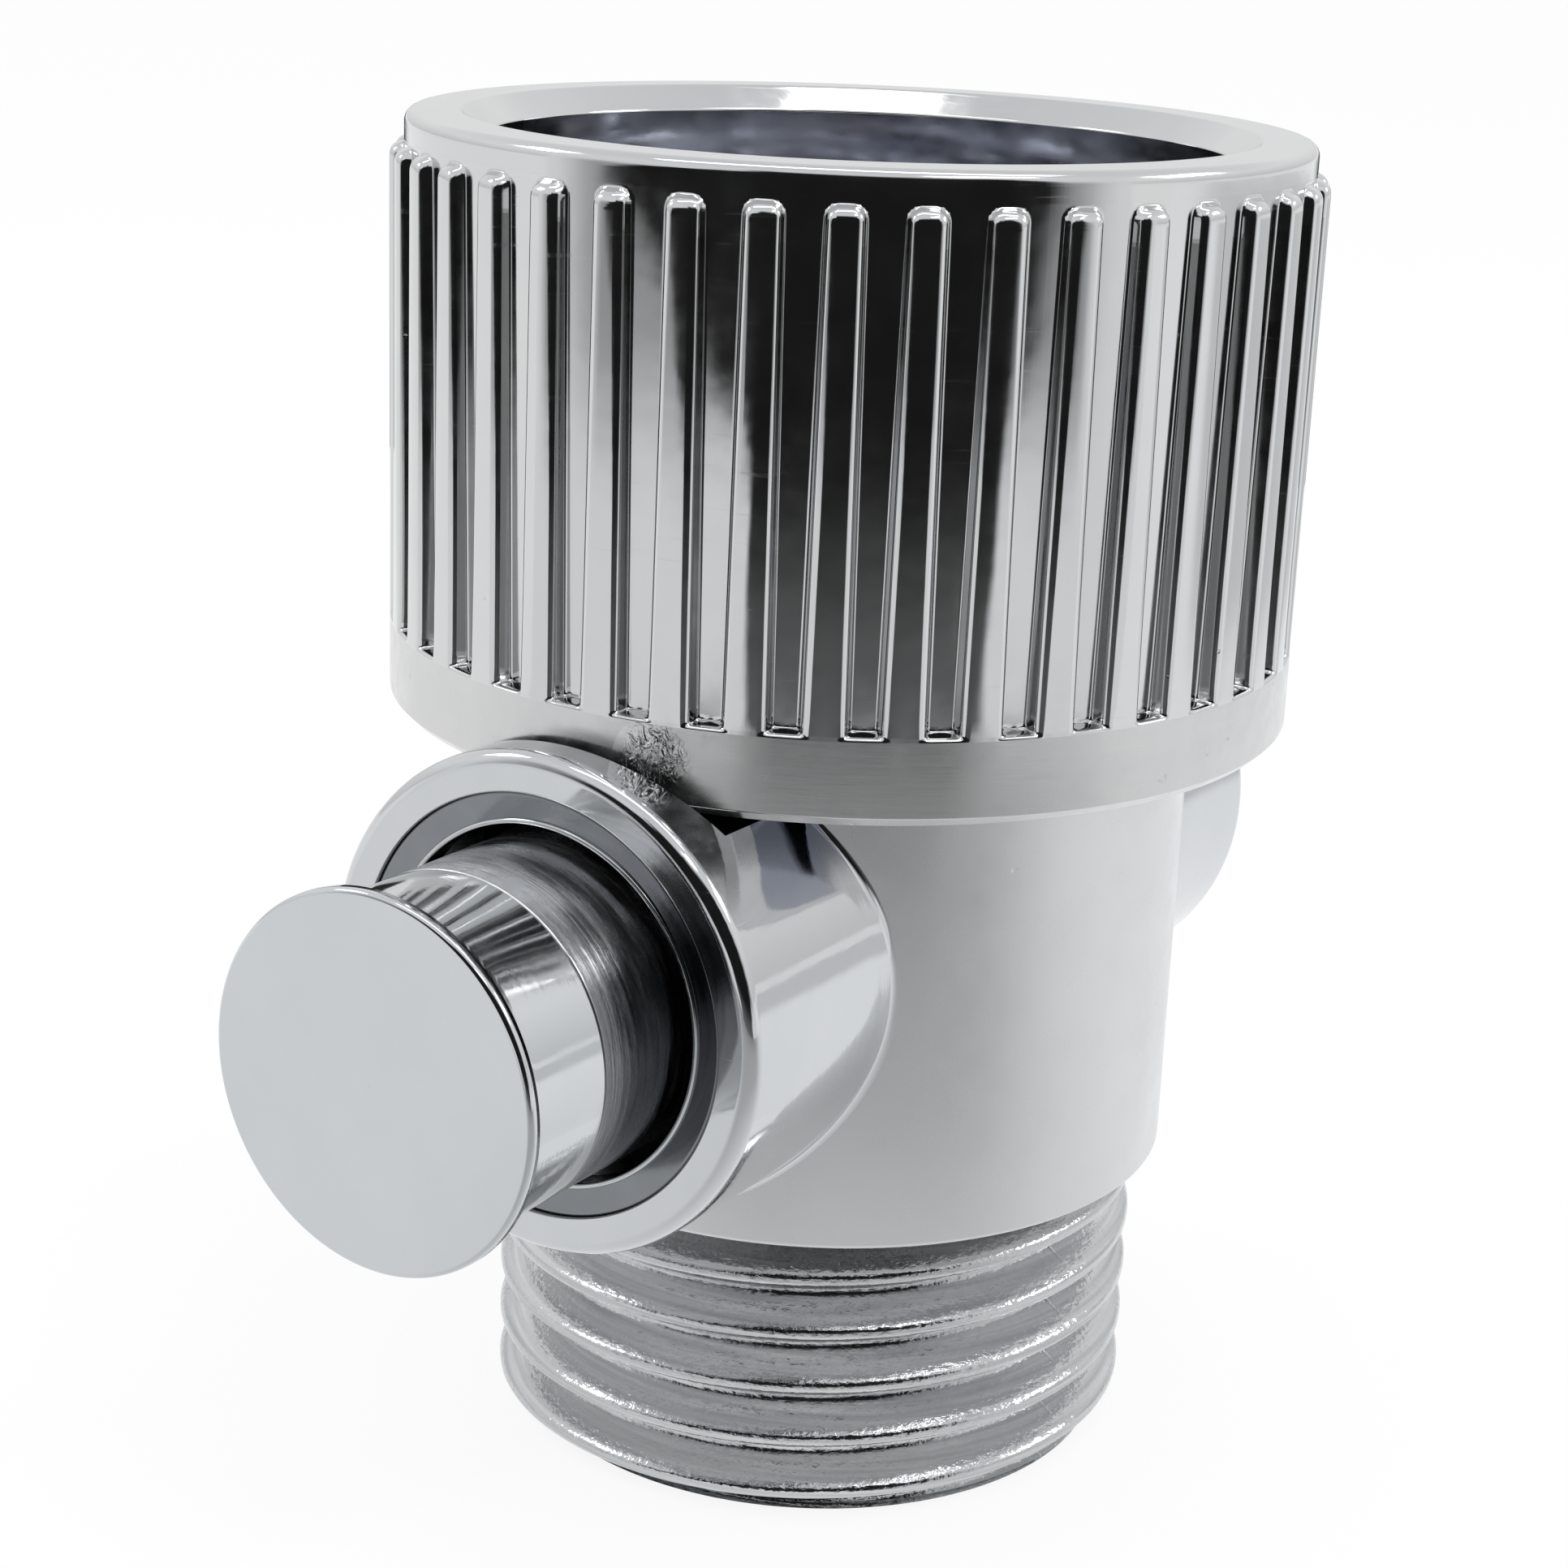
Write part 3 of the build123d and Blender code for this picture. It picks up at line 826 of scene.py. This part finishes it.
def make_card(name, points, level):
    """A card that only the metal sees, from a grid of points and how bright it is at each."""
    tint = (0.98, 0.99, 1.0)
    material = bpy.data.materials.new(name)
    tree = bare_tree(material)
    out = tree.nodes.new("ShaderNodeOutputMaterial")
    glow = tree.nodes.new("ShaderNodeEmission")
    tone = tree.nodes.new("ShaderNodeVertexColor")
    tone.layer_name = "tone"
    tree.links.new(tone.outputs["Color"], glow.inputs["Color"])
    tree.links.new(glow.outputs[0], out.inputs[0])
    mesh = bpy.data.meshes.new(name)
    mesh.from_pydata((points.reshape(-1, 3) * MM).tolist(), [], quads(*level.shape, False).tolist())
    mesh.materials.append(material)
    colors = np.append(level.reshape(-1, 1) * np.array(tint), np.ones((level.size, 1)), 1)
    layer = mesh.color_attributes.new("tone", "FLOAT_COLOR", "POINT")
    layer.data.foreach_set("color", colors.astype(np.float32).ravel())
    card = placed(name, mesh)
    card.visible_camera = False
    card.visible_diffuse = False
    card.visible_shadow = False


def upright(middle, span, radius, top, shade):
    """Points and shade of a card that stands round the valve."""
    offset, height = np.meshgrid(np.linspace(*span, 91), np.linspace(0, top, 91))
    return polar(radius, np.radians(middle + offset), height), shade(offset, height)


def lying(middle, span, inner, outer, shade):
    """Points and shade of a card that lies just over the floor in a sector round the valve."""
    lift = 0.2
    offset, reach = np.meshgrid(np.linspace(*span, 91), np.linspace(inner, outer, 41))
    return polar(reach, np.radians(middle + offset), lift), shade(offset, reach)


def front_shade(offset, height):
    """A dark upright shape in front of the valve, wider to the left higher up, with a grey fringe."""
    left = np.interp(height, [0, 9, 15, 20, 25, 30, 60, 90], [-20, -20, -22, -32, -45, -58, -50, -26])
    left = left + 1.5 * np.sin(height / 1.9)
    right = np.interp(height, [0, 8, 14, 21, 30, 75, 120], [32, 33, 36, 42, 47, 47, 36])
    right = right + 1.2 * np.sin(height / 1.7 + 1)
    dark = smooth(offset, left - 3, left + 2) * (1 - smooth(offset, right - 5, right + 3))
    dark = dark * (1 - smooth(height, 100, 135))
    fringe = smooth(offset, -74, -60) * (1 - smooth(offset, 48, 62)) * smooth(height, 12, 24)
    fringe = fringe * (1 - smooth(height, 44, 84))
    darkest = 0.012 + 0.13 * (1 - smooth(height, 1, 17))
    return 0.92 * (1 - 0.55 * fringe) * (1 - dark) + darkest * dark


def floor_shade(offset, reach):
    """The floor round the valve with a painted shadow, darker towards that shape, and painted a little
    brighter on the right.
    """
    depth = np.interp(reach, [16, 30, 45, 70, 90, 100], [0.0, 0.22, 0.42, 0.48, 0.60, 0.70])
    sector = smooth(offset, -54, -26) * (1 - smooth(offset, 36, 80))
    return 0.95 * (1 - depth * sector) + 0.1 * smooth(offset, 70, 105)


def side_shade(offset, reach):
    """The floor further off to the right with painted shade, greyer away from the valve."""
    sector = smooth(offset, 84, 100) * (1 - smooth(offset, 140, 160))
    return 1.05 - 0.3 * sector * smooth(reach, 100, 140)


def back_shade(offset, height):
    """A low dark shape behind the valve, pale towards its ends."""
    return 0.02 + 0.9 * smooth(np.abs(offset), 18, 30)


def make_lamp(name, angle, out, height, size, radiance):
    """A soft box aimed at the valve, as bright as its radiance says."""
    aim_height = 20
    width, depth = size[0] * MM, size[1] * MM
    data = bpy.data.lights.new(name, "AREA")
    data.shape = "RECTANGLE"
    data.size, data.size_y = width, depth
    data.energy = radiance * math.pi * width * depth
    lamp = placed(name, data)
    turn = math.radians(angle)
    lamp.location = Vector((out * math.cos(turn), out * math.sin(turn), height)) * MM
    aim = Vector((0, 0, aim_height)) * MM - lamp.location
    lamp.rotation_euler = aim.to_track_quat("-Z", "Y").to_euler()


def make_world():
    """A pale room, whitest a third of the way up."""
    world = bpy.data.worlds.new("studio")
    bpy.context.scene.world = world
    tree = bare_tree(world)
    out = tree.nodes.new("ShaderNodeOutputWorld")
    room = tree.nodes.new("ShaderNodeBackground")
    place = tree.nodes.new("ShaderNodeTexCoord")
    split = tree.nodes.new("ShaderNodeSeparateXYZ")
    ramp = tree.nodes.new("ShaderNodeValToRGB")
    stops = ramp.color_ramp.elements
    stops[0].position, stops[0].color = 0.0, (0.76, 0.765, 0.77, 1)
    stops[1].position, stops[1].color = 1.0, (0.80, 0.81, 0.83, 1)
    stops.new(0.35).color = (0.98, 0.98, 0.98, 1)
    tree.links.new(place.outputs["Generated"], split.inputs[0])
    tree.links.new(split.outputs["Z"], ramp.inputs[0])
    tree.links.new(ramp.outputs[0], room.inputs["Color"])
    tree.links.new(room.outputs[0], out.inputs[0])


def make_camera():
    """The camera as fitted to the photograph: its place round the valve's axis, tilt, turn, roll and lens."""
    place = (0, -94.226, 50.082)
    pitch, yaw, roll = np.radians([17.362, -0.946, 2.255])
    forward = Vector((math.sin(yaw) * math.cos(pitch), math.cos(yaw) * math.cos(pitch), -math.sin(pitch)))
    right = Vector((math.cos(yaw), -math.sin(yaw), 0))
    up = right.cross(forward)
    across_frame = right * math.cos(roll) + up * math.sin(roll)
    up_frame = up * math.cos(roll) - right * math.sin(roll)
    pose = Matrix((across_frame, up_frame, -forward)).transposed().to_4x4()
    pose.translation = Vector(place) * MM
    data = bpy.data.cameras.new("camera")
    data.lens = 70.23
    data.sensor_width = 36
    data.clip_start = 1 * MM
    camera = placed("camera", data)
    camera.matrix_world = Matrix.Rotation(math.radians(CAMERA_POLAR + 90), 4, "Z") @ pose
    bpy.context.scene.camera = camera


materials = make_materials()
make_body(materials)
make_nut(materials)
make_buttons(materials)
make_spool(materials)
make_bushes(materials)
make_washer(materials)
make_screen(materials)
dress_inner(materials)

make_floor()
make_card("front_card", *upright(CAMERA_POLAR, (-76, 64), 100, 145, front_shade))
# Painted shadow on the floor in front of the valve, seen only in the metal
make_card("floor_shadow_card", *lying(CAMERA_POLAR, (-88, 165), 16, 100, floor_shade))
# Painted shade on the floor further off to the right, seen only in the metal
make_card("side_shade_card", *lying(CAMERA_POLAR, (80, 165), 100, 420, side_shade))
make_card("back_card", *upright(CAMERA_POLAR + 180, (-30, 30), 160, 36, back_shade))
make_lamp("lamp_top", CAMERA_POLAR, 30, 400, (420, 50), 3.5)
make_lamp("lamp_front", CAMERA_POLAR + 40, 210, 300, (120, 60), 6.0)
make_lamp("lamp_right", CAMERA_POLAR + 95, 300, 220, (120, 70), 6.0)
make_lamp("lamp_left", CAMERA_POLAR - 95, 280, 240, (80, 70), 6.0)
make_world()
make_camera()
bpy.context.scene.view_settings.view_transform = "Standard"
